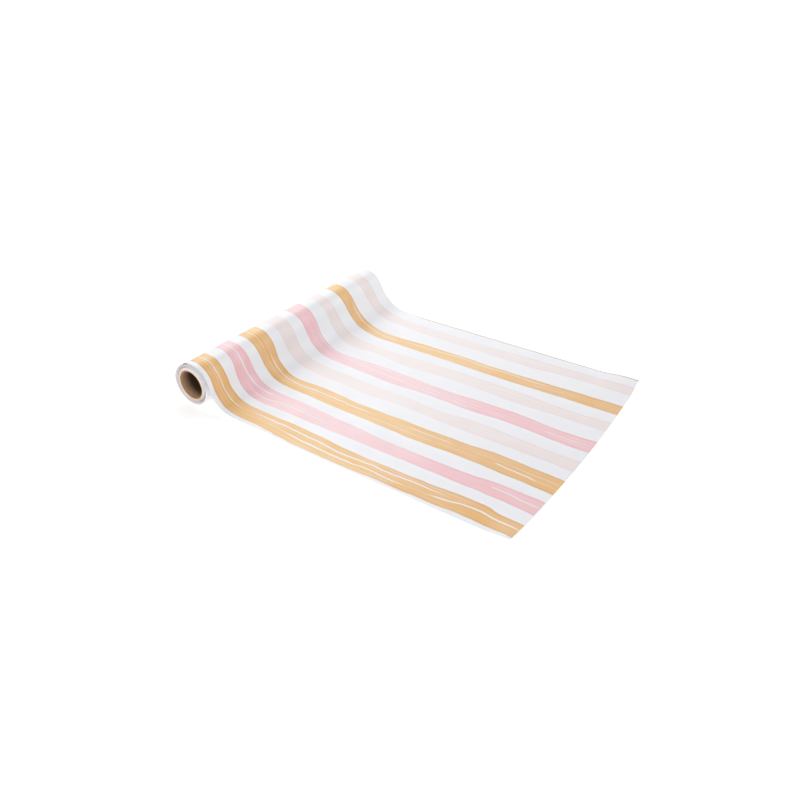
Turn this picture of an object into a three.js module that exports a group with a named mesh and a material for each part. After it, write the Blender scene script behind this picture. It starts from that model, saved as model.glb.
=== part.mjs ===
// A roll of wrapping paper on its cardboard core, with the first 0.7 m of paper drawn off.
// The paper leaves the top of the roll, drops down its front in an S and lies flat to a hand-cut end.
// Millimetres, +Z up. X runs from the roll to the cut end and Y along the roll.
// The origin is on the table, under the middle of the whole object.
import * as THREE from 'three';

// The paper and its core
const PAPER_WIDTH = 500;
const SHEET_THICKNESS = 0.4;
const BORE_RADIUS = 25.5;
const PLY_THICKNESS = 0.7;
const GLUE_LINE = 0.05;
const TAPE_THICKNESS = 0.3;
const TAPE_WIDTH = 12;
const TAPE_END_MARGIN = 8;
const WINDING_RADIUS = 36.8;

// Where the drawn-off paper is divided, measured from the roll's axis
const FOOT_END = 240;
const FREE_END_START = 520;
const CUT_CORNER = 603;
const CUT_BOW = 9.5;
const NODE_GAP = 0.3;

// The loose outer turn, in degrees round the roll from its top, positive towards the sheet.
// Its radius swells from the winding's to what it has at the top, which differs at the two ends.
const OUTER_TURN_START = -150;
const OUTER_TURN_END = 0;
const OUTER_TURN_START_RADIUS = WINDING_RADIUS + 0.6;
const NEAR_TOP_RADIUS = 42;
const FAR_TOP_RADIUS = 38;

const ROUND_SEGMENTS = 96;
const SHEET_STEPS_ACROSS = 8;
const TURN_STEPS = 40;
const DROP_STEPS = 64;
const CUT_STEPS = 24;

// The object reaches from the back of the outer turn to the middle of the cut end
const BACK_REACH = turnRadius(-90, NEAR_TOP_RADIUS) + SHEET_THICKNESS / 2;
const ROLL_X = (BACK_REACH - CUT_CORNER - CUT_BOW) / 2;
const ROLL_Z = WINDING_RADIUS;
const SHEET_MIDDLE_Z = SHEET_THICKNESS / 2;

const WHITE_PAPER = { color: 0xf3f4f8, roughness: 0.55, metalness: 0 };
const WOUND_PAPER = { color: 0xefeef0, roughness: 0.6, metalness: 0 };
const KRAFT = { color: 0xa97c50, roughness: 0.85, metalness: 0 };
const KRAFT_DARK = { color: 0x8d6440, roughness: 0.85, metalness: 0 };
const CORE_LINER = { color: 0xe0d2bb, roughness: 0.8, metalness: 0 };
const TAPE = { color: 0xe8e2cc, roughness: 0.3, metalness: 0 };

const object = new THREE.Group();

function turnRadius(degrees, topRadius) {
  const swell = THREE.MathUtils.smoothstep(degrees, OUTER_TURN_START, OUTER_TURN_END);
  return THREE.MathUtils.lerp(OUTER_TURN_START_RADIUS, topRadius, swell);
}

function addPiece(name, geometry, finish) {
  const mesh = new THREE.Mesh(geometry, new THREE.MeshStandardMaterial(finish));
  mesh.name = name;
  mesh.position.set(ROLL_X, 0, 0);
  object.add(mesh);
  return mesh;
}

// A tube round the roll's axis. The lathe turns about its own Y, which is the roll's axis already.
function rollTube(innerRadius, outerRadius, length) {
  const half = length / 2;
  const profile = [
    new THREE.Vector2(innerRadius, -half),
    new THREE.Vector2(outerRadius, -half),
    new THREE.Vector2(outerRadius, half),
    new THREE.Vector2(innerRadius, half),
    new THREE.Vector2(innerRadius, -half),
  ];
  return new THREE.LatheGeometry(profile, ROUND_SEGMENTS).translate(0, 0, ROLL_Z);
}

function addCore() {
  const plies = [
    ['core_inner_ply', KRAFT_DARK],
    ['core_middle_ply', KRAFT],
    ['core_outer_ply', CORE_LINER],
  ];
  let radius = BORE_RADIUS;
  for (const [name, finish] of plies) {
    addPiece(name, rollTube(radius, radius + PLY_THICKNESS, PAPER_WIDTH), finish);
    radius += PLY_THICKNESS + GLUE_LINE;
  }
  return radius;
}

// The strip of double-sided tape that holds the start of the paper to the core, lying along it
function addStartTape(innerRadius) {
  const outerRadius = innerRadius + TAPE_THICKNESS;
  const halfAngle = TAPE_WIDTH / innerRadius / 2;
  const strip = new THREE.Shape();
  strip.absarc(0, 0, outerRadius, -halfAngle, halfAngle, false);
  strip.absarc(0, 0, innerRadius, halfAngle, -halfAngle, true);
  strip.closePath();
  const length = PAPER_WIDTH - 2 * TAPE_END_MARGIN;
  const options = { depth: length, bevelEnabled: false, curveSegments: 6 };
  const geometry = new THREE.ExtrudeGeometry(strip, options);
  geometry.translate(0, 0, -length / 2).rotateX(Math.PI / 2).translate(0, 0, ROLL_Z);
  addPiece('core_start_tape', geometry, TAPE);
  return outerRadius;
}

// A point beside the roll: degrees from its top, positive towards the sheet, and a radius
function besideRoll(degrees, radius) {
  const angle = THREE.MathUtils.degToRad(degrees);
  return new THREE.Vector3(Math.sin(angle) * radius, 0, ROLL_Z + Math.cos(angle) * radius);
}

// The sheet between two edge curves, which lie in XZ and stand at the two ends of the roll.
// Both edges are divided at the same shares of their length, the sheet is straight between them,
// and none of it is under the table.
function ruledSheet(nearEdge, farEdge, start, end, steps) {
  const corners = [];
  const rows = SHEET_STEPS_ACROSS + 1;
  for (const side of [0.5, -0.5]) {
    for (let i = 0; i <= steps; i++) {
      const share = start + ((end - start) * i) / steps;
      const edges = [nearEdge, farEdge].map((edge) => {
        const along = edge.getTangentAt(share);
        const out = new THREE.Vector3(-along.z, 0, along.x);
        return edge.getPointAt(share).addScaledVector(out, side * SHEET_THICKNESS);
      });
      for (let j = 0; j < rows; j++) {
        const across = j / SHEET_STEPS_ACROSS;
        const point = new THREE.Vector3().lerpVectors(edges[0], edges[1], across);
        const lowest = side > 0 ? SHEET_THICKNESS : 0;
        corners.push(point.x, (across - 0.5) * PAPER_WIDTH, Math.max(point.z, lowest));
      }
    }
  }
  const under = (steps + 1) * rows;
  const faces = [];
  const addQuad = (a, b, c, d) => faces.push(a, b, c, a, c, d);
  for (let i = 0; i < steps; i++) {
    for (let j = 0; j < SHEET_STEPS_ACROSS; j++) {
      const a = i * rows + j;
      addQuad(a, a + rows, a + rows + 1, a + 1);
      addQuad(under + a, under + a + 1, under + a + rows + 1, under + a + rows);
    }
    const near = i * rows;
    const far = near + SHEET_STEPS_ACROSS;
    addQuad(near, under + near, under + near + rows, near + rows);
    addQuad(far, far + rows, under + far + rows, under + far);
  }
  for (let j = 0; j < SHEET_STEPS_ACROSS; j++) {
    const last = steps * rows + j;
    addQuad(j, j + 1, under + j + 1, under + j);
    addQuad(last, under + last, under + last + 1, last + 1);
  }
  const geometry = new THREE.BufferGeometry();
  geometry.setAttribute('position', new THREE.Float32BufferAttribute(corners, 3));
  geometry.setIndex(faces);
  geometry.computeVertexNormals();
  return geometry;
}

function turnEdge(topRadius) {
  const points = [];
  for (let i = 0; i <= TURN_STEPS; i++) {
    const degrees = THREE.MathUtils.lerp(OUTER_TURN_START, OUTER_TURN_END, i / TURN_STEPS);
    points.push(besideRoll(degrees, turnRadius(degrees, topRadius)));
  }
  return points;
}

// The paper's near edge stands off the front of the roll, and its far edge lies close to it
const NEAR_DROP = [
  besideRoll(24, 45),
  besideRoll(42, 46.3),
  besideRoll(60, 46),
  besideRoll(78, 45.4),
  new THREE.Vector3(49, 0, 32),
  new THREE.Vector3(57.5, 0, 20),
  new THREE.Vector3(68, 0, 11.5),
  new THREE.Vector3(81, 0, 7.2),
  new THREE.Vector3(101, 0, 5),
  new THREE.Vector3(130, 0, 4.2),
  new THREE.Vector3(162, 0, 3.6),
  new THREE.Vector3(194, 0, 1.9),
  new THREE.Vector3(222, 0, SHEET_MIDDLE_Z + 0.2),
  new THREE.Vector3(FOOT_END, 0, SHEET_MIDDLE_Z),
];
const FAR_DROP = [
  besideRoll(20, 37.7),
  besideRoll(38, 37.6),
  besideRoll(56, 37.8),
  new THREE.Vector3(37.5, 0, 47),
  new THREE.Vector3(43.2, 0, 36.2),
  new THREE.Vector3(49.8, 0, 27),
  new THREE.Vector3(58, 0, 18.4),
  new THREE.Vector3(69, 0, 10.6),
  new THREE.Vector3(83, 0, 5.2),
  new THREE.Vector3(103, 0, 2),
  new THREE.Vector3(132, 0, SHEET_MIDDLE_Z + 0.3),
  new THREE.Vector3(170, 0, SHEET_MIDDLE_Z),
  new THREE.Vector3(FOOT_END, 0, SHEET_MIDDLE_Z),
];

function addDrawnOffPaper() {
  const edges = [
    [NEAR_TOP_RADIUS, NEAR_DROP],
    [FAR_TOP_RADIUS, FAR_DROP],
  ];
  const turns = edges.map(([top]) => new THREE.CatmullRomCurve3(turnEdge(top)));
  addPiece('paper_outer_turn', ruledSheet(turns[0], turns[1], 0, 1, TURN_STEPS), WHITE_PAPER);
  const drops = edges.map(([top, drop]) => {
    return new THREE.CatmullRomCurve3([besideRoll(OUTER_TURN_END, top), ...drop]);
  });
  const start = NODE_GAP / drops[0].getLength();
  addPiece('sheet_drop', ruledSheet(drops[0], drops[1], start, 1, DROP_STEPS), WHITE_PAPER);
}

function flatPaper(outline) {
  return new THREE.ExtrudeGeometry(outline, {
    depth: SHEET_THICKNESS,
    bevelEnabled: false,
    curveSegments: CUT_STEPS,
  });
}

function addFlatPaper() {
  const half = PAPER_WIDTH / 2;
  const flat = new THREE.Shape();
  flat.moveTo(FOOT_END + NODE_GAP, -half);
  flat.lineTo(FREE_END_START - NODE_GAP, -half);
  flat.lineTo(FREE_END_START - NODE_GAP, half);
  flat.lineTo(FOOT_END + NODE_GAP, half);
  addPiece('sheet_flat', flatPaper(flat), WHITE_PAPER);

  const end = new THREE.Shape();
  end.moveTo(FREE_END_START, -half);
  end.lineTo(CUT_CORNER, -half);
  end.quadraticCurveTo(CUT_CORNER + 2 * CUT_BOW, 0, CUT_CORNER, half);
  end.lineTo(FREE_END_START, half);
  addPiece('sheet_free_end', flatPaper(end), WHITE_PAPER);
}

const tapeRadius = addCore();
const paperStartRadius = addStartTape(tapeRadius) + GLUE_LINE;
addPiece('paper_winding', rollTube(paperStartRadius, WINDING_RADIUS, PAPER_WIDTH), WOUND_PAPER);
addDrawnOffPaper();
addFlatPaper();

export default object;
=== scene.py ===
"""The looks of a wrapping paper roll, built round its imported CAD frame. Metres, +Z up.

The paper is one sheet: it runs from the winding's outer turn over the top of the roll, down its front and
along the table to a hand-cut end. "Run" is the distance along it, counted as X from the roll's axis where
the sheet lies flat, and "across" is the distance from its near edge.
"""

import math

import bpy
import numpy as np
from mathutils import Matrix, Vector


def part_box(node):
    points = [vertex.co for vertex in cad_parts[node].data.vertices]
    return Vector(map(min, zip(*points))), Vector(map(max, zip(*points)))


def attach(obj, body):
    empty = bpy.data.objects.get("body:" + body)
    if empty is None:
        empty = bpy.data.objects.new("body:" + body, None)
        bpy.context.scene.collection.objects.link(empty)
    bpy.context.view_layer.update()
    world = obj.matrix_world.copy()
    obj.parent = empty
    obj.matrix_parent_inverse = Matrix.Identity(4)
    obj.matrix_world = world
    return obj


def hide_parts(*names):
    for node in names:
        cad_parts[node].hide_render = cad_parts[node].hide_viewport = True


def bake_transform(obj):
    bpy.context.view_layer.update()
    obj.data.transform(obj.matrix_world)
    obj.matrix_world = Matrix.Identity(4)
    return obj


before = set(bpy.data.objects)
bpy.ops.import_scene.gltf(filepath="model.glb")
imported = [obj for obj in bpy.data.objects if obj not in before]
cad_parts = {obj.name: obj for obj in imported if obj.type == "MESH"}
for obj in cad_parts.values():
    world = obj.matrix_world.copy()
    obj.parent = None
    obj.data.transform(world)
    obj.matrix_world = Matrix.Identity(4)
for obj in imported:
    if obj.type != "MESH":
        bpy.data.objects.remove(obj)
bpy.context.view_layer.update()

MM = 0.001

# Where the CAD has things
WINDING_LOW, WINDING_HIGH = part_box("paper_winding")
ROLL_X = (WINDING_LOW.x + WINDING_HIGH.x) / 2
ROLL_Z = (WINDING_LOW.z + WINDING_HIGH.z) / 2
WINDING_RADIUS = (WINDING_HIGH.z - WINDING_LOW.z) / 2
NEAR_Y, FAR_Y = WINDING_LOW.y, WINDING_HIGH.y
PAPER_WIDTH = FAR_Y - NEAR_Y
CORE_LOW, CORE_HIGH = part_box("core_outer_ply")
CORE_RADIUS = (CORE_HIGH.z - CORE_LOW.z) / 2
PLY_LOW, PLY_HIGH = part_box("core_inner_ply")
PLY_RADIUS = (PLY_HIGH.z - PLY_LOW.z) / 2

# The drawn-off sheet, as the CAD has it. Its places along X and its radii are from the roll's axis, and its
# angle is in degrees round the roll from its top, positive towards the sheet.
FOOT_END = 240 * MM
CUT_CORNER = 603 * MM
CUT_BOW = 9.5 * MM
TURN_START = -150
TURN_START_RADIUS = WINDING_RADIUS + 0.6 * MM
NEAR_TOP_RADIUS = 42 * MM
FAR_TOP_RADIUS = 38 * MM
FLAT_HEIGHT = 0.2 * MM

# The loose turn keeps its start's radius up to this angle, and then swells to the radius it has at the top
TURN_SWELL = -28
PAPER_THICKNESS = 0.16 * MM
# The sheet's face is never lower than this, so its underside stays clear of the table
TABLE_GAP = 0.25 * MM

# The core's inner ply, a strip of board wound in a helix
PLY_LEAD = 95 * MM
PLY_SEAM = 0.5 * MM
PLY_THICKNESS = 0.7 * MM


def srgb(red, green, blue):
    """A colour given in 0-255 display values, as the linear colour that shaders take."""
    out = []
    for value in (red, green, blue):
        c = value / 255
        out.append(c / 12.92 if c <= 0.04045 else ((c + 0.055) / 1.055) ** 2.4)
    return (*out, 1.0)


# --- Node trees -------------------------------------------------------------------------------------


class Tree:
    """Short ways to write a material's nodes."""

    def __init__(self, tree):
        self.tree = tree

    def node(self, kind, **settings):
        made = self.tree.nodes.new(kind)
        for key, value in settings.items():
            setattr(made, key, value)
        return made

    def put(self, socket, value):
        if isinstance(value, bpy.types.NodeSocket):
            self.tree.links.new(value, socket)
        else:
            socket.default_value = value

    def math(self, operation, a, b=0.0, c=0.0, clamp=False):
        made = self.node("ShaderNodeMath", operation=operation, use_clamp=clamp)
        for socket, value in zip(made.inputs, (a, b, c)):
            self.put(socket, value)
        return made.outputs[0]

    def ramp(self, value, low, high, out_low=0.0, out_high=1.0):
        made = self.node("ShaderNodeMapRange", interpolation_type="SMOOTHSTEP")
        for socket, v in zip(made.inputs, (value, low, high, out_low, out_high)):
            self.put(socket, v)
        return made.outputs[0]

    def mix(self, share, a, b):
        made = self.node("ShaderNodeMix", data_type="RGBA")
        self.put(made.inputs["Factor"], share)
        self.put(made.inputs[6], a)
        self.put(made.inputs[7], b)
        return made.outputs[2]

    def combine(self, x, y, z=0.0):
        made = self.node("ShaderNodeCombineXYZ")
        for socket, value in zip(made.inputs, (x, y, z)):
            self.put(socket, value)
        return made.outputs[0]

    def stretched(self, *places):
        """A place for a texture from (value, scale) pairs, one for each axis."""
        return self.combine(*(self.math("MULTIPLY", value, scale) for value, scale in places))

    def noise(self, at, scale, detail=2.0, roughness=0.5):
        made = self.node("ShaderNodeTexNoise")
        self.put(made.inputs["Vector"], at)
        made.inputs["Scale"].default_value = scale
        made.inputs["Detail"].default_value = detail
        made.inputs["Roughness"].default_value = roughness
        return made.outputs["Fac"]

    def line_noise(self, along, scale, seed, detail=2.0):
        made = self.node("ShaderNodeTexNoise", noise_dimensions="1D")
        self.put(made.inputs["W"], self.math("ADD", along, seed))
        made.inputs["Scale"].default_value = scale
        made.inputs["Detail"].default_value = detail
        return made.outputs["Fac"]

    def curve(self, value, points):
        """A smooth curve through (x, y) points, all from 0 to 1, which stays level past its two ends."""
        made = self.node("ShaderNodeFloatCurve")
        made.mapping.extend = "HORIZONTAL"
        line = made.mapping.curves[0]
        while len(line.points) < len(points):
            line.points.new(0.5, 0.5)
        for point, place in zip(line.points, points):
            point.location = place
            point.handle_type = "AUTO"
        made.mapping.update()
        self.put(made.inputs["Value"], value)
        return made.outputs[0]

    def bump(self, height, distance, strength):
        made = self.node("ShaderNodeBump")
        made.inputs["Strength"].default_value = strength
        made.inputs["Distance"].default_value = distance
        self.put(made.inputs["Height"], height)
        return made.outputs[0]


def new_material(name):
    """A material, its tree and its shader."""
    material = bpy.data.materials.new(name)
    material.use_nodes = True
    material.node_tree.nodes.clear()
    tree = Tree(material.node_tree)
    shader = tree.node("ShaderNodeBsdfPrincipled")
    output = tree.node("ShaderNodeOutputMaterial")
    material.node_tree.links.new(shader.outputs[0], output.inputs[0])
    return material, tree, shader


# --- The print --------------------------------------------------------------------------------------

# Each stripe: its paint, then (run, lower edge, upper edge) in mm. The runs are from the roll's axis and the
# edges from the sheet's near edge. The last stripe goes past the sheet's far edge.
STRIPES = [
    ("gold", [(-160, 38, 52), (-90, 12, 43), (-30, 9, 41.5), (60, 9, 43.5), (140, 8, 44.5), (220, 4.5, 46.5),
              (300, 4, 42), (390, 6, 41.5), (480, 7, 45), (520, 9.5, 47.5), (565, 8, 41), (612, 2.5, 38)]),
    ("pink", [(-160, 67, 97), (-20, 66, 98), (50, 62.5, 102.5), (150, 65, 103.5), (250, 68, 100.5),
              (370, 68.5, 94.5), (470, 69, 95), (550, 68.5, 100.5), (612, 58, 97.5)]),
    ("gold", [(-160, 123, 163), (-20, 122.5, 164), (60, 127, 162), (100, 127, 158.5), (150, 126.5, 162),
              (240, 126, 159), (400, 123.5, 160), (440, 126, 160.5), (500, 124.5, 164.5), (560, 123.5, 163),
              (612, 119, 160)]),
    ("blush", [(-160, 190, 222), (0, 188, 221), (80, 194, 223), (200, 190.5, 221.5), (300, 194, 221),
               (350, 192.5, 217.5), (430, 190, 223.5), (560, 190, 218), (612, 188.5, 218)]),
    ("pink", [(-160, 248, 282), (-30, 247, 284), (60, 250.5, 282), (110, 249, 278), (190, 247, 283.5),
              (240, 245.5, 283.5), (310, 249, 279.5), (400, 248, 283), (460, 252, 284.5), (550, 247.5, 279),
              (612, 246.5, 281.5)]),
    ("blush", [(-160, 315, 343), (-20, 315, 341), (40, 318, 346), (110, 314, 343), (150, 318, 342.5),
               (230, 311.5, 346.5), (290, 317, 348), (380, 316, 348.5), (460, 313, 347), (520, 316, 342.5),
               (612, 316, 346)]),
    ("gold", [(-160, 372, 402), (-15, 370.5, 400.5), (60, 377, 405), (130, 373, 397.5), (240, 373.5, 402.5),
              (380, 371, 400), (500, 373, 403), (612, 373.5, 405.5)]),
    ("blush", [(-160, 438, 468), (-20, 438, 468), (70, 445, 472), (160, 440, 467), (230, 438, 466),
               (300, 438.5, 466), (400, 438, 469), (480, 445, 472), (550, 447, 473), (612, 443, 470)]),
    ("straw", [(-160, 505, 520), (70, 502, 520), (140, 496.5, 520), (200, 495, 520), (300, 495.5, 520),
               (450, 496.5, 520), (530, 497, 520), (612, 495, 520)]),
]
# The stretch of the sheet that the print's curves cover, and how far from its mean an edge can wander
RUN_LOW, RUN_HIGH = -160 * MM, 620 * MM
EDGE_REACH = 10 * MM
# A painted edge's fine wobble, its softness, and how far in from it the paint pooled
EDGE_WOBBLE = 2.6 * MM
EDGE_SOFTNESS = 0.35 * MM
POOL_FULL, POOL_END = 0.5 * MM, 5 * MM

PAPER_WHITE = srgb(243, 243, 247)
PAINTS = {
    "gold": srgb(235, 177, 85),
    "pink": srgb(245, 190, 196),
    "blush": srgb(240, 227, 225),
    "straw": srgb(208, 200, 184),
}
# The same paints where they pooled along a stripe's edges
POOLED_PAINTS = {
    "gold": srgb(222, 165, 82),
    "pink": srgb(239, 180, 188),
    "blush": srgb(237, 222, 220),
    "straw": srgb(200, 192, 174),
}
# The same paints paled by painted sheen
SHEEN_PALED_PAINTS = {
    "gold": srgb(241, 191, 106),
    "pink": srgb(247, 206, 211),
    "blush": srgb(241, 231, 229),
    "straw": srgb(214, 207, 192),
}
# How much painted sheen pales them along the sheet: (run in mm, share)
PAINTED_SHEEN_ALONG = [(-160, 0.7), (-40, 0.8), (10, 0.0), (55, 0.0), (105, 0.8), (200, 1.0), (340, 0.75), (480, 0.0),
            (612, 0.0)]

# Unpainted lines left by the brush: the stripe's index, then (run in mm, share of the stripe's width) along
# the line, the line's width in mm and how clear it is
BRUSH_LINES = [
    (0, [(-150, 0.60), (0, 0.56), (50, 0.58), (105, 0.56)], 1.8, 0.9),
    (0, [(90, 0.70), (240, 0.69), (300, 0.66), (350, 0.73), (380, 0.68), (420, 0.73), (500, 0.64)],
     2.4, 0.95),
    (0, [(175, 0.38), (320, 0.35), (350, 0.41), (385, 0.32), (430, 0.36)], 2.1, 0.95),
    (0, [(455, 0.40), (500, 0.48), (525, 0.58), (575, 0.60), (612, 0.55)], 2.4, 1.0),
    (0, [(300, 0.86), (400, 0.88), (520, 0.80)], 0.9, 0.4),
    (0, [(150, 0.16), (300, 0.13), (420, 0.17)], 0.9, 0.4),
    (1, [(-150, 0.58), (20, 0.55), (50, 0.63), (85, 0.71), (125, 0.75)], 2.2, 0.95),
    (1, [(45, 0.36), (90, 0.31), (120, 0.42), (160, 0.44), (235, 0.38)], 1.8, 0.8),
    (1, [(130, 0.62), (190, 0.60), (260, 0.64)], 1.2, 0.5),
    (1, [(520, 0.62), (560, 0.58), (580, 0.52), (612, 0.53)], 2.0, 1.0),
    (2, [(-150, 0.44), (-20, 0.42), (20, 0.34)], 1.3, 0.6),
    (2, [(10, 0.60), (80, 0.63), (130, 0.57), (230, 0.62), (285, 0.54)], 2.1, 0.9),
    (2, [(270, 0.36), (330, 0.32), (400, 0.30)], 1.3, 0.5),
    (2, [(340, 0.67), (380, 0.68), (430, 0.64)], 2.4, 0.5),
    (2, [(500, 0.41), (530, 0.41), (578, 0.36)], 2.0, 0.95),
    (2, [(520, 0.64), (560, 0.62), (612, 0.66)], 1.0, 0.6),
    (3, [(220, 0.36), (270, 0.34), (320, 0.30)], 1.4, 0.8),
    (3, [(400, 0.40), (470, 0.45), (500, 0.42)], 1.2, 0.8),
    (3, [(410, 0.60), (470, 0.66), (510, 0.62)], 1.2, 0.8),
    (3, [(430, 0.84), (500, 0.80)], 1.1, 0.6),
    (4, [(5, 0.82), (50, 0.87), (150, 0.86), (250, 0.84)], 1.8, 0.85),
    (4, [(15, 0.40), (60, 0.46), (100, 0.44)], 1.2, 0.6),
    (4, [(100, 0.74), (150, 0.59), (220, 0.49), (265, 0.50)], 1.9, 0.85),
    (4, [(270, 0.60), (330, 0.61), (420, 0.53)], 1.3, 0.7),
    (4, [(250, 0.38), (300, 0.30), (350, 0.26), (425, 0.32)], 1.4, 0.7),
    (4, [(525, 0.50), (575, 0.52), (612, 0.55)], 1.6, 0.8),
    (4, [(535, 0.30), (575, 0.32), (612, 0.35)], 1.2, 0.7),
    (4, [(560, 0.74), (612, 0.76)], 1.2, 0.7),
    (5, [(300, 0.70), (400, 0.67), (500, 0.69)], 1.5, 0.8),
    (5, [(320, 0.40), (400, 0.37), (480, 0.40)], 1.1, 0.6),
    (6, [(10, 0.78), (60, 0.70), (90, 0.63), (125, 0.53), (170, 0.46)], 1.8, 0.8),
    (6, [(155, 0.66), (240, 0.69), (300, 0.78), (350, 0.75), (400, 0.80), (440, 0.72), (500, 0.71)],
     1.7, 0.8),
    (6, [(450, 0.34), (480, 0.44), (515, 0.52)], 1.4, 0.5),
    (7, [(340, 0.66), (400, 0.62), (460, 0.64)], 1.2, 0.6),
]
# A brush line's tapered ends as a share of its length, and its wander and softness as shares of the stripe
LINE_TAPER = 0.15
LINE_WANDER = 0.05
LINE_SOFTNESS = 0.015


def run_place(run):
    """A run in mm as a place from 0 to 1, which is what the print's curves take."""
    return (run * MM - RUN_LOW) / (RUN_HIGH - RUN_LOW)


def edge_line(t, place, stations, column):
    """The across distance of a stripe's edge at a place along the sheet, where place is 0 to 1."""
    middle = sum(station[column] for station in stations) / len(stations) * MM
    points = []
    for station in stations:
        bend = (station[column] * MM - middle) / (2 * EDGE_REACH)
        points.append((run_place(station[0]), 0.5 + bend))
    return t.math("MULTIPLY_ADD", t.curve(place, points), 2 * EDGE_REACH, middle - EDGE_REACH)


def wobbly_edge(t, run, place, stations, column, seed):
    """A stripe's edge with its fine wobble."""
    wobble = t.math("SUBTRACT", t.line_noise(run, 22.0, seed, 3.0), 0.5)
    return t.math("MULTIPLY_ADD", wobble, EDGE_WOBBLE, edge_line(t, place, stations, column))


def brush_line(t, run, place, share, points, width):
    """1 on a narrow line that tapers out at both ends of its run, and 0 beside it."""
    centre = t.curve(place, [(run_place(r), across) for r, across in points])
    seed = points[0][0] * 0.1
    wobble = t.line_noise(run, 60.0, seed)
    wander = t.math("MULTIPLY", t.math("SUBTRACT", wobble, 0.5), LINE_WANDER)
    off = t.math("ABSOLUTE", t.math("SUBTRACT", t.math("SUBTRACT", share, centre), wander))
    start, end = points[0][0] * MM, points[-1][0] * MM
    taper = LINE_TAPER * (end - start)
    ends = t.math("MULTIPLY", t.ramp(run, start, start + taper), t.ramp(run, end - taper, end, 1.0, 0.0))
    half = t.math("MULTIPLY", ends, width / 2)
    return t.ramp(t.math("SUBTRACT", half, off), -LINE_SOFTNESS, LINE_SOFTNESS)


def less_brush_lines(t, painted, index, run, place, share, width):
    """The paint that is left on a stripe once the brush's unpainted lines are taken from it."""
    for stripe, points, line_width, strength in BRUSH_LINES:
        if stripe == index:
            line = brush_line(t, run, place, share, points, line_width * MM / width)
            painted = t.math("MULTIPLY", painted, t.math("MULTIPLY_ADD", line, -strength, 1.0))
    return painted


def paint_colour(t, paint, from_edge, painted_sheen, washed_out):
    """A stripe's colour: deeper where the paint pooled, paler under painted sheen, and paler where washed
    out.
    """
    pooled = t.ramp(from_edge, POOL_FULL, POOL_END, 1.0, 0.0)
    body = t.mix(pooled, PAINTS[paint], POOLED_PAINTS[paint])
    # Painted sheen pales the paint
    body = t.mix(painted_sheen, body, SHEEN_PALED_PAINTS[paint])
    return t.mix(washed_out, body, PAPER_WHITE)


def painted_stripes(t, run, across):
    """The print's colour: hand-painted stripes with wobbly edges and dry brush lines."""
    place = t.math("DIVIDE", t.math("SUBTRACT", run, RUN_LOW), RUN_HIGH - RUN_LOW, clamp=True)
    grain = t.noise(t.stretched((run, 5.0), (across, 480.0)), 1.0, 3.0)
    unstreaked = t.math("SUBTRACT", 1.0, t.ramp(grain, 0.60, 0.74, 0.0, 0.22))
    wash = t.noise(t.stretched((run, 14.0), (across, 60.0)), 1.0, 2.0)
    washed_out = t.ramp(wash, 0.3, 0.7, 0.0, 0.12)
    # Painted sheen: strongest over the roll's top and on the flat near the roll, none down its front or near
    # the cut
    painted_sheen = t.curve(place, [(run_place(r), amount) for r, amount in PAINTED_SHEEN_ALONG])
    colour = PAPER_WHITE
    for index, (paint, stations) in enumerate(STRIPES):
        low = wobbly_edge(t, run, place, stations, 1, index * 5.3 + 3.7)
        high = wobbly_edge(t, run, place, stations, 2, index * 5.3 + 8.1)
        from_low = t.math("SUBTRACT", across, low)
        from_high = t.math("SUBTRACT", high, across)
        above = t.ramp(from_low, -EDGE_SOFTNESS, EDGE_SOFTNESS)
        below = t.ramp(from_high, -EDGE_SOFTNESS, EDGE_SOFTNESS)
        share = t.math("DIVIDE", from_low, t.math("SUBTRACT", high, low))
        width = sum(upper - lower for _, lower, upper in stations) / len(stations) * MM
        painted = t.math("MULTIPLY", above, below)
        painted = less_brush_lines(t, painted, index, run, place, share, width)
        painted = t.math("MULTIPLY", painted, unstreaked)
        from_edge = t.math("MINIMUM", from_low, from_high)
        colour = t.mix(painted, colour, paint_colour(t, paint, from_edge, painted_sheen, washed_out))
    return colour


def print_coordinates(t):
    """The run and the across distance at each place of the paper."""
    places = t.node("ShaderNodeUVMap", uv_map="print")
    split = t.node("ShaderNodeSeparateXYZ")
    t.put(split.inputs[0], places.outputs[0])
    return split.outputs[0], split.outputs[1]


def paper_grain(t, run, across):
    """The height of the paper's surface: a fine even tooth, and softer cloudy fibre."""
    at = t.combine(run, across)
    tooth = t.noise(at, 2600.0, 2.0, 0.6)
    cloud = t.noise(at, 160.0, 3.0, 0.5)
    return t.math("MULTIPLY_ADD", cloud, 1.5, tooth)


def make_printed_paper():
    """The paper's printed face: painted stripes on white satin paper with a faint sheen."""
    material, t, shader = new_material("printed_paper_face")
    run, across = print_coordinates(t)
    colour = painted_stripes(t, run, across)
    cloud = t.noise(t.combine(run, across), 45.0, 3.0)
    colour = t.mix(t.ramp(cloud, 0.25, 0.75, 0.0, 0.045), colour, srgb(214, 214, 226))
    t.put(shader.inputs["Base Color"], colour)
    t.put(shader.inputs["Roughness"], t.ramp(cloud, 0.2, 0.8, 0.40, 0.52))
    shader.inputs["Specular IOR Level"].default_value = 1.0
    shader.inputs["Sheen Weight"].default_value = 0.7
    shader.inputs["Sheen Roughness"].default_value = 0.3
    t.put(shader.inputs["Normal"], t.bump(paper_grain(t, run, across), 0.04 * MM, 0.35))
    return material


def make_paper_back():
    """The paper's plain white back."""
    material, t, shader = new_material("paper_back")
    run, across = print_coordinates(t)
    cloud = t.noise(t.combine(run, across), 60.0, 4.0)
    colour = t.mix(t.ramp(cloud, 0.3, 0.7), srgb(238, 237, 238), srgb(229, 227, 228))
    t.put(shader.inputs["Base Color"], colour)
    t.put(shader.inputs["Roughness"], t.ramp(cloud, 0.2, 0.8, 0.70, 0.85))
    t.put(shader.inputs["Normal"], t.bump(paper_grain(t, run, across), 0.06 * MM, 0.6))
    return material


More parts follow.
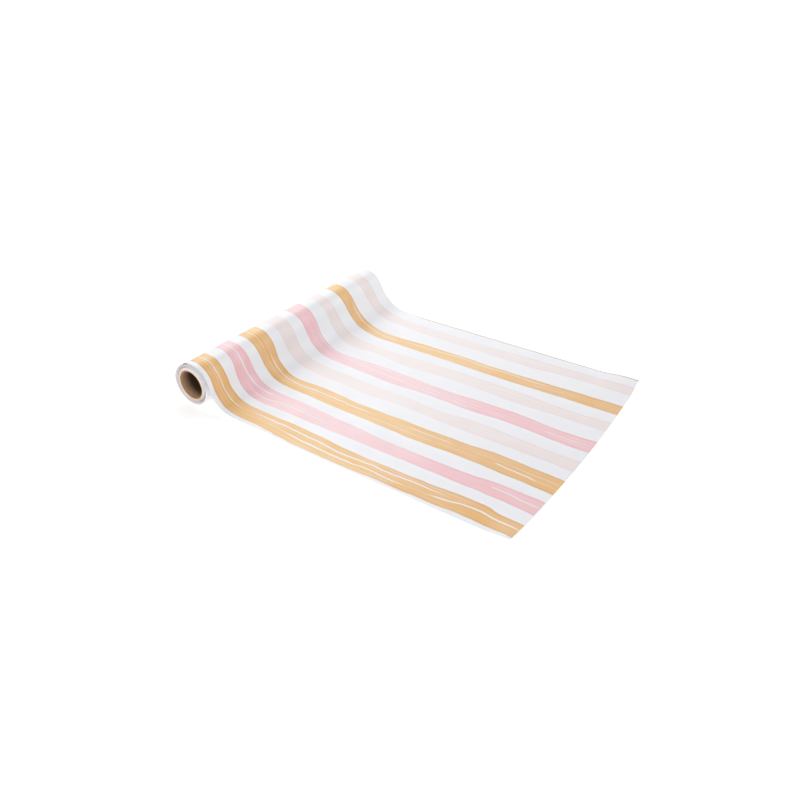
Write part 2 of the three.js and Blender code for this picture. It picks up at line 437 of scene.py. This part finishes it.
def from_roll_axis(t):
    """The distance from the roll's axis, x and z from it, and the place along it."""
    places = t.node("ShaderNodeTexCoord")
    split = t.node("ShaderNodeSeparateXYZ")
    t.put(split.inputs[0], places.outputs["Object"])
    x = t.math("SUBTRACT", split.outputs[0], ROLL_X)
    z = t.math("SUBTRACT", split.outputs[2], ROLL_Z)
    radius = t.math("SQRT", t.math("ADD", t.math("MULTIPLY", x, x), t.math("MULTIPLY", z, z)))
    return radius, x, z, split.outputs[1]


# A grey ring of painted shade at the recessed middle turns: the radii where it starts, is full, fades and
# ends
RECESS_SHADE_RING = (29.5 * MM, 31.2 * MM, 33.2 * MM, 35 * MM)


def make_wound_edges():
    """The wound turns' cut edges: fine rings of paper, and a grey ring of painted shade at the recessed
    middle turns.
    """
    material, t, shader = new_material("wound_paper_edges")
    radius, x, z, _ = from_roll_axis(t)
    rings = t.noise(t.stretched((radius, 9000.0), (x, 40.0), (z, 40.0)), 1.0, 2.0)
    broad = t.noise(t.stretched((radius, 1600.0), (x, 25.0), (z, 25.0)), 1.0, 2.0)
    colour = t.mix(t.ramp(rings, 0.35, 0.65), srgb(212, 201, 198), srgb(252, 247, 245))
    colour = t.mix(t.ramp(broad, 0.45, 0.75, 0.0, 0.55), colour, srgb(233, 214, 212))
    start, full, fade, end = RECESS_SHADE_RING
    recess_shade = t.math("MULTIPLY", t.ramp(radius, start, full), t.ramp(radius, fade, end, 1.0, 0.0))
    # Painted shade: the recessed middle turns' edges are greyed
    colour = t.mix(t.math("MULTIPLY", recess_shade, 0.9), colour, srgb(176, 156, 153))
    t.put(shader.inputs["Base Color"], colour)
    shader.inputs["Roughness"].default_value = 0.85
    t.put(shader.inputs["Normal"], t.bump(rings, 0.10 * MM, 0.8))
    return material


# How far in from the roll's ends the painted shade on the bore's wall starts, and where it is darkest
BORE_DARKENS, BORE_DARK = 1 * MM, 23 * MM


def make_board(name, dark, light, least_roughness, painted_bore_shade=None):
    """Paper board: mottled fibre with darker flecks, drawn out along the strip's winding direction.

    Away from the roll's ends it can turn to a second, dark colour: painted shade deep inside the bore.
    """
    material, t, shader = new_material(name)
    _, x, z, along = from_roll_axis(t)
    turn = t.math("ARCTAN2", x, z)
    skewed = t.math("MULTIPLY_ADD", turn, -PLY_LEAD / math.tau, along)
    fibre = t.noise(t.stretched((skewed, 900.0), (x, 220.0), (z, 220.0)), 1.0, 4.0, 0.65)
    fleck = t.noise(t.combine(along, x, z), 1500.0, 2.0, 0.7)
    colour = t.mix(t.ramp(fibre, 0.3, 0.7), dark, light)
    colour = t.mix(t.ramp(fleck, 0.62, 0.78, 0.0, 0.5), colour, srgb(92, 62, 36))
    if painted_bore_shade is not None:
        # Painted shade: the wall gets darker the deeper it lies in the bore
        depth = t.math("MINIMUM", t.math("SUBTRACT", along, NEAR_Y), t.math("SUBTRACT", FAR_Y, along))
        colour = t.mix(t.ramp(depth, BORE_DARKENS, BORE_DARK, 0.0, 0.97), colour, painted_bore_shade)
    t.put(shader.inputs["Base Color"], colour)
    t.put(shader.inputs["Roughness"], t.ramp(fibre, 0.3, 0.7, least_roughness, 0.92))
    t.put(shader.inputs["Normal"], t.bump(fibre, 0.12 * MM, 0.6))
    return material


def make_tape():
    """The start tape's film, pale and finely wrinkled along the roll."""
    material, t, shader = new_material("start_tape_film")
    _, x, z, along = from_roll_axis(t)
    wrinkle = t.noise(t.combine(t.math("MULTIPLY", along, 260.0), x, z), 1.0, 3.0)
    t.put(shader.inputs["Base Color"], t.mix(wrinkle, srgb(226, 218, 192), srgb(240, 236, 220)))
    t.put(shader.inputs["Roughness"], t.ramp(wrinkle, 0.3, 0.7, 0.2, 0.4))
    t.put(shader.inputs["Normal"], t.bump(wrinkle, 0.05 * MM, 0.5))
    return material


# --- Shapes -----------------------------------------------------------------------------------------


def smooth(value, low, high):
    """0 where the value is at low, 1 where it is at high, and a smooth step between."""
    share = np.clip((value - low) / (high - low), 0, 1)
    return share * share * (3 - 2 * share)


def beside_roll(degrees, radius):
    """(x from the roll's axis, z) beside the roll: degrees from its top, positive towards the sheet."""
    angle = np.radians(degrees)
    return np.stack([np.sin(angle) * radius, ROLL_Z + np.cos(angle) * radius], -1)


SPLINE_STEPS = 24


def spline(points, steps):
    """A Catmull-Rom curve through the points, cut into even steps of its length, and that length."""
    p = np.array(points, float)
    p = np.vstack([2 * p[0] - p[1], p, 2 * p[-1] - p[-2]])
    knots = np.concatenate([[0], np.cumsum(np.linalg.norm(np.diff(p, axis=0), axis=1) ** 0.5)])
    fine = []
    for i in range(1, len(p) - 2):
        k0, k1, k2, k3 = knots[i - 1 : i + 3]
        u = np.linspace(k1, k2, SPLINE_STEPS, endpoint=False)[:, None]
        a = (k1 - u) / (k1 - k0) * p[i - 1] + (u - k0) / (k1 - k0) * p[i]
        b = (k2 - u) / (k2 - k1) * p[i] + (u - k1) / (k2 - k1) * p[i + 1]
        c = (k3 - u) / (k3 - k2) * p[i + 1] + (u - k2) / (k3 - k2) * p[i + 2]
        d = (k2 - u) / (k2 - k0) * a + (u - k0) / (k2 - k0) * b
        e = (k3 - u) / (k3 - k1) * b + (u - k1) / (k3 - k1) * c
        fine.append((k2 - u) / (k2 - k1) * d + (u - k1) / (k2 - k1) * e)
    fine = np.vstack([*fine, p[-2]])
    along = np.concatenate([[0], np.cumsum(np.linalg.norm(np.diff(fine, axis=0), axis=1))])
    at = np.linspace(0, along[-1], steps + 1)
    return np.stack([np.interp(at, along, fine[:, k]) for k in (0, 1)], -1), along[-1]


# The S from the top of the roll to the table at the sheet's two edges. Beside the roll its places are
# (degrees from the top, radius in mm), and below that they are (x from the roll's axis, z) in mm.
NEAR_TURN = [(24, 45), (42, 46.3), (60, 46), (78, 45.4)]
NEAR_DROP = [(49, 32), (57.5, 20), (68, 11.5), (81, 7.2), (101, 5), (130, 4.2), (162, 3.6), (194, 1.9),
             (222, 0.4), (240, 0.2)]
FAR_TURN = [(20, 37.7), (38, 37.6), (56, 37.8)]
FAR_DROP = [(37.5, 47), (43.2, 36.2), (49.8, 27), (58, 18.4), (69, 10.6), (83, 5.2), (103, 2),
            (132, 0.5), (170, 0.2), (240, 0.2)]


def edge_profile(top_radius, turn, drop, turn_steps, drop_steps):
    """An edge of the sheet from the start of the loose turn to the flat, and the drop's length."""
    degrees = np.linspace(TURN_START, 0, turn_steps + 1)
    radius = TURN_START_RADIUS + (top_radius - TURN_START_RADIUS) * smooth(degrees, TURN_SWELL, 0)
    round_back = beside_roll(degrees, radius)
    over = [beside_roll(d, r * MM) for d, r in turn]
    down, length = spline([round_back[-1], *over, *(np.array(drop) * MM)], drop_steps)
    return np.vstack([round_back, down[1:]]), length


def make_mesh(name, vertices, faces, materials, uv=None, face_slots=None):
    """A smooth piece, with the print's coordinates at its vertices and its faces' slots where it has them."""
    mesh = bpy.data.meshes.new(name)
    mesh.from_pydata([tuple(v) for v in vertices], [], [tuple(f) for f in faces])
    for material in materials:
        mesh.materials.append(material)
    if face_slots is not None:
        mesh.polygons.foreach_set("material_index", face_slots)
    if uv is not None:
        layer = mesh.uv_layers.new(name="print")
        loops = np.empty(len(mesh.loops), int)
        mesh.loops.foreach_get("vertex_index", loops)
        layer.data.foreach_set("uv", np.asarray(uv)[loops].astype(np.float32).ravel())
    mesh.polygons.foreach_set("use_smooth", [True] * len(mesh.polygons))
    mesh.update()
    piece = bpy.data.objects.new(name, mesh)
    bpy.context.scene.collection.objects.link(piece)
    return piece


def grid_faces(rows, columns):
    """The faces of a sheet whose points lie row by row."""
    faces = []
    for i in range(rows - 1):
        for j in range(columns - 1):
            a = i * columns + j
            faces.append((a, a + columns, a + columns + 1, a + 1))
    return faces


def strip_faces(steps):
    """The faces of a strip with four corners at each step: four sides a step, and then its two ends."""
    faces = []
    for i in range(steps):
        a, b = i * 4, i * 4 + 4
        for k in range(4):
            n = (k + 1) % 4
            faces.append((a + k, b + k, b + n, a + n))
    last = steps * 4
    faces += [(0, 1, 2, 3), (last + 3, last + 2, last + 1, last)]
    return faces


def make_sheet(face, back):
    """The drawn-off paper, from the start of the loose turn to the cut end, and its length."""
    turn_steps, drop_steps, flat_steps, across_steps = 56, 110, 110, 72
    near, near_length = edge_profile(NEAR_TOP_RADIUS, NEAR_TURN, NEAR_DROP, turn_steps, drop_steps)
    far, far_length = edge_profile(FAR_TOP_RADIUS, FAR_TURN, FAR_DROP, turn_steps, drop_steps)
    drop_length = (near_length + far_length) / 2
    top_radius = (NEAR_TOP_RADIUS + FAR_TOP_RADIUS) / 2
    turn_length = math.radians(-TURN_START) * (TURN_START_RADIUS + top_radius) / 2
    flat_length = CUT_CORNER + CUT_BOW * 2 / 3 - FOOT_END
    run_turn = FOOT_END - drop_length + np.linspace(-turn_length, 0, turn_steps + 1)
    run_drop = FOOT_END - drop_length + np.linspace(0, drop_length, drop_steps + 1)[1:]
    across = np.linspace(0, 1, across_steps + 1)
    rows, uv = [], []
    for i, run in enumerate([*run_turn, *run_drop]):
        x = near[i, 0] + (far[i, 0] - near[i, 0]) * across
        z = near[i, 1] + (far[i, 1] - near[i, 1]) * across
        rows.append(np.stack([x, across, z], -1))
        uv.append(np.stack([np.full_like(x, run), across * PAPER_WIDTH], -1))
    cut = CUT_CORNER + CUT_BOW * (1 - (2 * across - 1) ** 2)
    for share in np.linspace(0, 1, flat_steps + 1)[1:]:
        x = FOOT_END + (cut - FOOT_END) * share
        rows.append(np.stack([x, across, np.full_like(x, FLAT_HEIGHT)], -1))
        uv.append(np.stack([x, across * PAPER_WIDTH], -1))
    points = np.array(rows)
    points[..., 2] += table_waves(points[..., 0], points[..., 1], cut)
    points[..., 2] = np.maximum(points[..., 2], TABLE_GAP)
    points[..., 0] += ROLL_X
    points[..., 1] = NEAR_Y + points[..., 1] * PAPER_WIDTH
    faces = grid_faces(len(rows), across_steps + 1)
    vertices = points.reshape(-1, 3)
    places = np.array(uv).reshape(-1, 2)
    sheet = make_mesh("drawn_off_sheet", vertices, faces, [face, back], places)
    sharpen_outline(sheet)
    thick = sheet.modifiers.new("paper_thickness", "SOLIDIFY")
    thick.thickness = PAPER_THICKNESS
    # The printed face stays where it is, and the thickness is all under it
    thick.offset = -1
    thick.material_offset = 1
    thick.material_offset_rim = 1
    return sheet, turn_length + drop_length + flat_length


# Where the sheet's waves start and are full, from the roll's axis, and how high they, the ripples at the cut
# and the two curled corners stand
WAVES_START, WAVES_FULL = 150 * MM, 260 * MM
WAVE_HEIGHT = 0.5 * MM
CUT_RIPPLE = 0.9 * MM
FAR_CORNER_CURL = 4.0 * MM
NEAR_CORNER_CURL = 2.2 * MM


def table_waves(x, share, cut):
    """How far the sheet stands off the table where it lies flat: slow waves, and corners that curl up.

    The share is from the sheet's near edge to its far edge, and the cut is the cut end's x at each share.
    """
    flat = smooth(x, WAVES_START, WAVES_FULL)
    slow = 0.5 + 0.5 * np.sin(x * 21 + share * 4.2) * np.cos(share * 9.5 - x * 13)
    lift = flat * slow * WAVE_HEIGHT
    to_cut = x - cut
    lift += smooth(to_cut, -60 * MM, 0) * (0.5 + 0.5 * np.sin(share * 11 + 0.6)) * CUT_RIPPLE
    lift += smooth(to_cut, -75 * MM, -20 * MM) * smooth(share, 0.86, 1.0) * FAR_CORNER_CURL
    lift += smooth(to_cut, -40 * MM, 0) * smooth(share, 0.10, 0.0) * NEAR_CORNER_CURL
    return lift


# The winding's spiral has fewer and thicker turns than the real paper has
TURNS = 22
TURN_THICKNESS = 0.30 * MM
STEPS_PER_TURN = 144
# The room that the start tape takes between the core and the first turn
TAPE_ROOM = 0.42 * MM
# Where the turns lie loose: turns from the core, the spread of the loose stretch and how loose it is
LOOSE_PLACES = [(7.3, 0.25, 5), (19.2, 0.3, 9), (13.6, 0.2, 3)]
# How far the middle turns lie off centre, and how far the middle and outer turns have slid along the roll
OFF_CENTRE = 0.35 * MM
MIDDLE_SLIDE = 2.6 * MM
OUTER_SLIDE = 1.0 * MM
FACE_SLOT, BACK_SLOT, EDGE_SLOT = 0, 1, 2


def make_winding(face, back, edges):
    """The wound paper: one spiral strip, loose in a few places, whose turns have slid a little."""
    inner = CORE_RADIUS + TAPE_ROOM
    end_angle = math.radians(TURN_START)
    steps = TURNS * STEPS_PER_TURN
    turn = np.linspace(0, TURNS, steps + 1)
    looseness = np.ones_like(turn)
    for place, spread, amount in LOOSE_PLACES:
        looseness += amount * np.exp(-((turn - place) / spread) ** 2)
    growth = np.concatenate([[0], np.cumsum(looseness[1:])])
    room = WINDING_RADIUS - inner - TURN_THICKNESS * (TURNS + 1)
    radius = inner + TURN_THICKNESS * turn + room * growth / growth[-1]
    angle = end_angle + (turn - TURNS) * math.tau
    shift = OFF_CENTRE * np.sin(math.pi * turn / TURNS) ** 2
    radius = radius + shift * np.cos(angle - 2.4)
    share = (radius - inner) / (WINDING_RADIUS - inner)
    slide = MIDDLE_SLIDE * smooth(share, 0.12, 0.3) * smooth(share, 0.82, 0.64)
    slide -= OUTER_SLIDE * smooth(share, 0.75, 0.9)
    slide += 0.2 * MM * np.sin(turn * 2.3) + 0.1 * MM * np.sin(turn * 5.1)
    slide *= smooth(turn, 0, 2)
    rows = []
    outer = radius + TURN_THICKNESS
    for r, end_y in ((radius, NEAR_Y), (outer, NEAR_Y), (outer, FAR_Y), (radius, FAR_Y)):
        x = ROLL_X + np.sin(angle) * r
        z = ROLL_Z + np.cos(angle) * r
        rows.append(np.stack([x, end_y + slide, z], -1))
    vertices = np.stack(rows, 1).reshape(-1, 3)
    slots = [EDGE_SLOT, FACE_SLOT, EDGE_SLOT, BACK_SLOT] * steps + [EDGE_SLOT] * 2
    run = -(TURNS - turn) * math.tau * WINDING_RADIUS + RUN_LOW
    uv = np.stack([np.repeat(run, 4), np.tile([0, 0, PAPER_WIDTH, PAPER_WIDTH], steps + 1)], -1)
    materials = [face, back, edges]
    piece = make_mesh("wound_paper_turns", vertices, strip_faces(steps), materials, uv, slots)
    sharpen(piece)
    return piece


SHARP_DEGREES = 40


def sharpen_outline(piece):
    """Marks the open edges of a sheet as sharp, so that its thickness doesn't shade its face."""
    mesh = piece.data
    edges = np.empty(len(mesh.loops), int)
    mesh.loops.foreach_get("edge_index", edges)
    for index in np.flatnonzero(np.bincount(edges, minlength=len(mesh.edges)) == 1):
        mesh.edges[index].use_edge_sharp = True


def sharpen(piece):
    """Marks the piece's square corners as sharp, so that its ends stay flat."""
    piece.data.set_sharp_from_angle(angle=math.radians(SHARP_DEGREES))


PLY_STEPS_PER_TURN = 120
# The strip's pointed ends stop where it gets narrower than this
PLY_TIP = 0.2 * MM


def make_inner_ply(board):
    """The core's inner ply: a strip of board wound in a helix, whose edges meet in a butt seam."""
    outer = PLY_RADIUS
    inner = outer - PLY_THICKNESS
    first = math.ceil(-(PAPER_WIDTH + PLY_LEAD - PLY_SEAM) / PLY_LEAD * PLY_STEPS_PER_TURN) + 1
    rows = []
    for i in range(first, 0):
        turns = i / PLY_STEPS_PER_TURN
        low = FAR_Y + turns * PLY_LEAD
        high = low + PLY_LEAD - PLY_SEAM
        low, high = max(low, NEAR_Y), min(high, FAR_Y)
        if high - low > PLY_TIP:
            rows.append((turns * math.tau, low, high))
    vertices = []
    for angle, low, high in rows:
        for r, y in ((inner, low), (outer, low), (outer, high), (inner, high)):
            vertices.append((ROLL_X + math.sin(angle) * r, y, ROLL_Z + math.cos(angle) * r))
    piece = make_mesh("core_inner_ply_strip", vertices, strip_faces(len(rows) - 1), [board])
    sharpen(piece)
    return piece


# --- The scene --------------------------------------------------------------------------------------

# The view: the place that it looks at, its distance from there in metres, its angles in degrees and its lens
VIEW_AIM = Vector((-0.003, -0.0413, 0.0))
VIEW_DISTANCE = 1.2997
VIEW_AZIMUTH = 34.27
VIEW_ELEVATION = 32.28
VIEW_TILT = 0.15
LENS = 33.93
SENSOR_WIDTH = 36


def add_camera():
    azimuth, elevation = math.radians(VIEW_AZIMUTH), math.radians(VIEW_ELEVATION)
    flat = math.cos(elevation)
    back = Vector((math.sin(azimuth) * flat, -math.cos(azimuth) * flat, math.sin(elevation)))
    camera = bpy.data.objects.new("view", bpy.data.cameras.new("view"))
    bpy.context.scene.collection.objects.link(camera)
    turn = (-back).to_track_quat("-Z", "Y").to_matrix() @ Matrix.Rotation(math.radians(VIEW_TILT), 3, "Z")
    camera.matrix_world = Matrix.Translation(VIEW_AIM + back * VIEW_DISTANCE) @ turn.to_4x4()
    camera.data.lens = LENS
    camera.data.sensor_width = SENSOR_WIDTH
    bpy.context.scene.camera = camera


def add_area_light(name, place, aim, size, energy):
    light = bpy.data.lights.new(name, "AREA")
    light.shape = "RECTANGLE"
    light.size, light.size_y = size
    light.energy = energy
    lamp = bpy.data.objects.new(name, light)
    lamp.location = place
    lamp.rotation_euler = (Vector(aim) - Vector(place)).to_track_quat("-Z", "Y").to_euler()
    lamp.visible_camera = False
    bpy.context.scene.collection.objects.link(lamp)


# Each soft light: its name, place, what it points at, width and height in metres, and power in watts
LIGHTS = [
    ("back_softbox", (-1.6, 2.38, 1.73), (0, 0, 0), (2.9, 2.05), 37),
    ("left_softbox", (-1.7, 0.9, 1.3), (0, 0, 0), (2.0, 1.6), 13.5),
    ("right_softbox", (2.2, -1.4, 0.9), (0, 0, 0), (1.8, 1.2), 12),
    ("far_softbox", (1.2, 2.2, 1.4), (0, 0, 0), (2.0, 1.6), 27),
    ("front_softbox", (-0.4, -2.1, 1.25), (-0.2, 0, 0), (1.8, 1.2), 31),
]
# The surroundings: a backdrop lit brightly along its foot, a dimmer ceiling, and a floor that glows like a
# lit sweep. Its glow grows between two distances in metres from the origin.
BACKDROP_FOOT = 1.0
BACKDROP = 0.28
CEILING = 0.18
FLOOR_GLOW_NEAR = 0.36
FLOOR_GLOW_FAR = 2.0
FLOOR_GLOW_START = 0.7
FLOOR_GLOW_END = 3.5
FLOOR_REACH = 60
FLOOR_PAINT = (0.93, 0.93, 0.93, 1.0)
WHITE_LIGHT = (1.0, 1.0, 1.0, 1.0)


def add_world():
    """The backdrop and ceiling, which are lit but have no shape."""
    world = bpy.data.worlds.new("studio")
    world.use_nodes = True
    t = Tree(world.node_tree)
    towards = t.node("ShaderNodeTexCoord")
    split = t.node("ShaderNodeSeparateXYZ")
    t.put(split.inputs[0], towards.outputs["Generated"])
    background = world.node_tree.nodes["Background"]
    background.inputs[0].default_value = WHITE_LIGHT
    height = split.outputs[2]
    wall = t.ramp(height, 0.15, 0.5, BACKDROP, CEILING)
    foot = t.ramp(height, 0.02, 0.18, BACKDROP_FOOT - BACKDROP, 0.0)
    t.put(background.inputs[1], t.math("ADD", wall, foot))
    bpy.context.scene.world = world


def add_floor():
    """A white floor that glows, and more so further out."""
    material, t, shader = new_material("studio_floor")
    shader.inputs["Base Color"].default_value = FLOOR_PAINT
    shader.inputs["Roughness"].default_value = 1.0
    shader.inputs["Specular IOR Level"].default_value = 0.0
    shader.inputs["Emission Color"].default_value = WHITE_LIGHT
    places = t.node("ShaderNodeTexCoord")
    distance = t.node("ShaderNodeVectorMath", operation="LENGTH")
    t.put(distance.inputs[0], places.outputs["Object"])
    away = distance.outputs["Value"]
    glow = t.ramp(away, FLOOR_GLOW_START, FLOOR_GLOW_END, FLOOR_GLOW_NEAR, FLOOR_GLOW_FAR)
    t.put(shader.inputs["Emission Strength"], glow)
    corners = [(x * FLOOR_REACH, y * FLOOR_REACH, 0) for x, y in ((-1, -1), (1, -1), (1, 1), (-1, 1))]
    make_mesh("floor", corners, [(0, 1, 2, 3)], [material])


def add_studio():
    add_world()
    for light in LIGHTS:
        add_area_light(*light)
    add_floor()
    bpy.context.scene.view_settings.view_transform = "Standard"


def main():
    add_camera()
    add_studio()

    face, back, edges = make_printed_paper(), make_paper_back(), make_wound_edges()
    sheet, sheet_length = make_sheet(face, back)
    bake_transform(sheet)
    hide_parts("paper_outer_turn", "sheet_drop", "sheet_flat", "sheet_free_end")

    winding = make_winding(face, back, edges)
    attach(winding, "roll")
    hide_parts("paper_winding")

    # The kraft's last colour is painted shade deep inside the bore
    kraft = make_board("kraft_board", srgb(182, 142, 108), srgb(212, 178, 144), 0.7, srgb(60, 37, 16))
    pale = make_board("core_liner_board", srgb(206, 186, 156), srgb(232, 217, 194), 0.75)
    ply = make_inner_ply(kraft)
    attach(ply, "roll")
    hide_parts("core_inner_ply")
    finishes = {"core_middle_ply": kraft, "core_outer_ply": pale, "core_start_tape": make_tape()}
    for node, material in finishes.items():
        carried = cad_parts[node]
        carried.data.materials.clear()
        carried.data.materials.append(material)


main()
